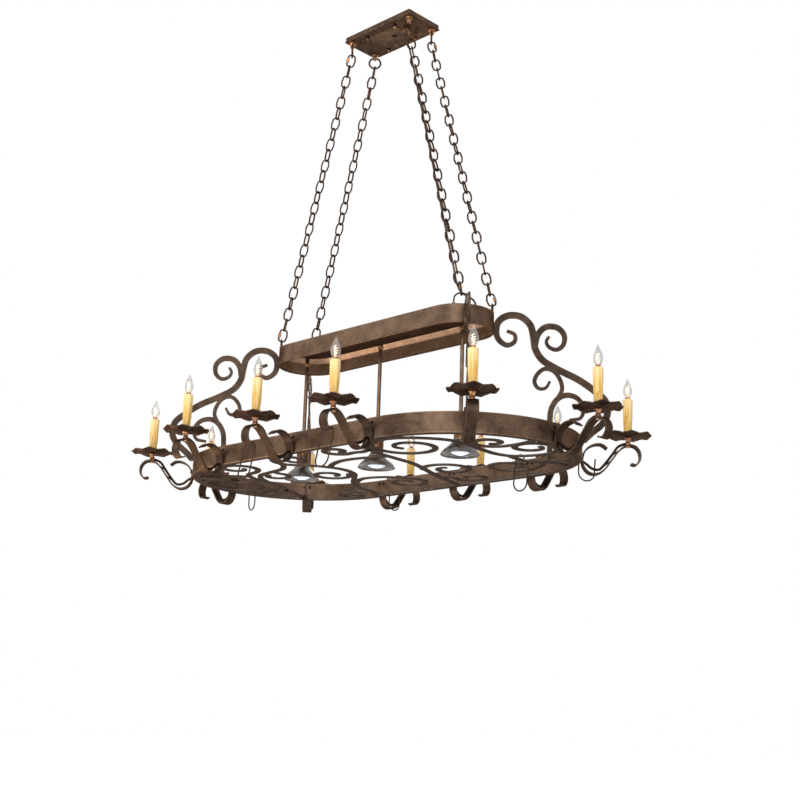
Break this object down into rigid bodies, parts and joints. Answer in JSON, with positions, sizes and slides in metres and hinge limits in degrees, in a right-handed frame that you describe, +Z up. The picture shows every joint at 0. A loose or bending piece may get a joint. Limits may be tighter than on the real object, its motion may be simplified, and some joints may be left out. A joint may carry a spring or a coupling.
{
  "type": "pot rack",
  "caption": "Ceiling-hung oval pot rack in bronzed scroll iron, with candle lights on curled arms, bell downlights, a scrollwork grille and loose pot hooks on long chains.",
  "frame": {"origin": "centre of the ceiling plate's top face, which lies against the ceiling", "axes": "+Z up into the ceiling, X along the long side of the rack, Y across it"},
  "size_m": [1.8416, 1.1416, 1.6267],
  "materials": {
    "bronzed_iron": "mottled bronze patina",
    "bell_bronze": "dark satin bronze",
    "amber_wax": "wax with drips",
    "clear_glass": "clear, lit warm",
    "cord_brown": "twisted cord"
  },
  "bodies": {
    "ceiling_plate": {"ceiling_plate": "bronzed_iron"},
    "chain_near_left": {"chain_near_left": "bronzed_iron"},
    "chain_near_right": {"chain_near_right": "bronzed_iron", "lamp_cord": "cord_brown"},
    "chain_far_left": {"chain_far_left": "bronzed_iron"},
    "chain_far_right": {"chain_far_right": "bronzed_iron"},
    "rack": {"light_tray": "bronzed_iron", "downlight_left": "bell_bronze", "downlight_middle": "bell_bronze", "downlight_right": "bell_bronze", "scroll_bracket_near_left": "bronzed_iron", "scroll_bracket_near_right": "bronzed_iron", "scroll_bracket_far_left": "bronzed_iron", "scroll_bracket_far_right": "bronzed_iron", "ring_band": "bronzed_iron", "grille": "bronzed_iron", "candle_arm_near_left": "bronzed_iron", "candle_sleeve_near_left": "amber_wax", "bulb_near_left": "clear_glass", "candle_arm_near_middle": "bronzed_iron", "candle_sleeve_near_middle": "amber_wax", "bulb_near_middle": "clear_glass", "candle_arm_near_right": "bronzed_iron", "candle_sleeve_near_right": "amber_wax", "bulb_near_right": "clear_glass", "candle_arm_right_near": "bronzed_iron", "candle_sleeve_right_near": "amber_wax", "bulb_right_near": "clear_glass", "candle_arm_right_end": "bronzed_iron", "candle_sleeve_right_end": "amber_wax", "bulb_right_end": "clear_glass", "candle_arm_right_far": "bronzed_iron", "candle_sleeve_right_far": "amber_wax", "bulb_right_far": "clear_glass", "candle_arm_far_right": "bronzed_iron", "candle_sleeve_far_right": "amber_wax", "bulb_far_right": "clear_glass", "candle_arm_far_middle": "bronzed_iron", "candle_sleeve_far_middle": "amber_wax", "bulb_far_middle": "clear_glass", "candle_arm_far_left": "bronzed_iron", "candle_sleeve_far_left": "amber_wax", "bulb_far_left": "clear_glass", "candle_arm_left_far": "bronzed_iron", "candle_sleeve_left_far": "amber_wax", "bulb_left_far": "clear_glass", "candle_arm_left_end": "bronzed_iron", "candle_sleeve_left_end": "amber_wax", "bulb_left_end": "clear_glass", "candle_arm_left_near": "bronzed_iron", "candle_sleeve_left_near": "amber_wax", "bulb_left_near": "clear_glass"},
    "pot_hook_near_middle_arm": {"pot_hook_near_middle_arm": "bronzed_iron"},
    "pot_hook_near_right_arm": {"pot_hook_near_right_arm": "bronzed_iron"},
    "pot_hook_right_end": {"pot_hook_right_end": "bronzed_iron"},
    "pot_hook_far_side": {"pot_hook_far_side": "bronzed_iron"},
    "pot_hook_left_end": {"pot_hook_left_end": "bronzed_iron"},
    "pot_hook_grille": {"pot_hook_grille": "bronzed_iron"}
  },
  "joints": [
    {"name": "rack_sway", "type": "hinge", "parent": "ceiling_plate", "child": "chain_near_left", "pos_m": [-0.134, -0.055, -0.07], "axis": [1, 0, 0], "range_deg": [-3, 3], "deforming": ["lamp_cord"]},
    {"name": "chain_near_right_swing", "type": "hinge", "parent": "ceiling_plate", "child": "chain_near_right", "pos_m": [0.134, -0.055, -0.07], "axis": [1, 0, 0], "range_deg": [-3, 3]},
    {"name": "chain_far_left_swing", "type": "hinge", "parent": "ceiling_plate", "child": "chain_far_left", "pos_m": [-0.134, 0.055, -0.07], "axis": [1, 0, 0], "range_deg": [-3, 3]},
    {"name": "chain_far_right_swing", "type": "hinge", "parent": "ceiling_plate", "child": "chain_far_right", "pos_m": [0.134, 0.055, -0.07], "axis": [1, 0, 0], "range_deg": [-3, 3]},
    {"name": "rack_level", "type": "hinge", "parent": "chain_near_left", "child": "rack", "pos_m": [-0.40542, -0.07142, -1.038], "axis": [1, 0, 0], "range_deg": [-3, 3]},
    {"name": "near_middle_arm_hook_swing", "type": "hinge", "parent": "rack", "child": "pot_hook_near_middle_arm", "pos_m": [0, -0.506, -1.523], "axis": [1, 0, 0], "range_deg": [-20, 12]},
    {"name": "near_right_arm_hook_swing", "type": "hinge", "parent": "rack", "child": "pot_hook_near_right_arm", "pos_m": [0.329, -0.506, -1.523], "axis": [1, 0, 0], "range_deg": [-20, 12]},
    {"name": "right_end_hook_swing", "type": "hinge", "parent": "rack", "child": "pot_hook_right_end", "pos_m": [0.56702, 0.28283, -1.463], "axis": [0.7934, -0.6088, 0], "range_deg": [0, 20]},
    {"name": "far_side_hook_swing", "type": "hinge", "parent": "rack", "child": "pot_hook_far_side", "pos_m": [-0.296, 0.3565, -1.463], "axis": [1, 0, 0], "range_deg": [0, 20]},
    {"name": "left_end_hook_swing", "type": "hinge", "parent": "rack", "child": "pot_hook_left_end", "pos_m": [-0.69435, 0.09227, -1.463], "axis": [0.2588, 0.9659, 0], "range_deg": [0, 20]},
    {"name": "grille_hook_swing", "type": "hinge", "parent": "rack", "child": "pot_hook_grille", "pos_m": [0.479, 0.122, -1.5205], "axis": [0, 1, 0], "range_deg": [-20, 20]}
  ],
  "couplings": [
    {"joint": "chain_near_right_swing", "follows": "rack_sway", "ratio": 1},
    {"joint": "chain_far_left_swing", "follows": "rack_sway", "ratio": 1},
    {"joint": "chain_far_right_swing", "follows": "rack_sway", "ratio": 1},
    {"joint": "rack_level", "follows": "rack_sway", "ratio": -0.77012}
  ]
}
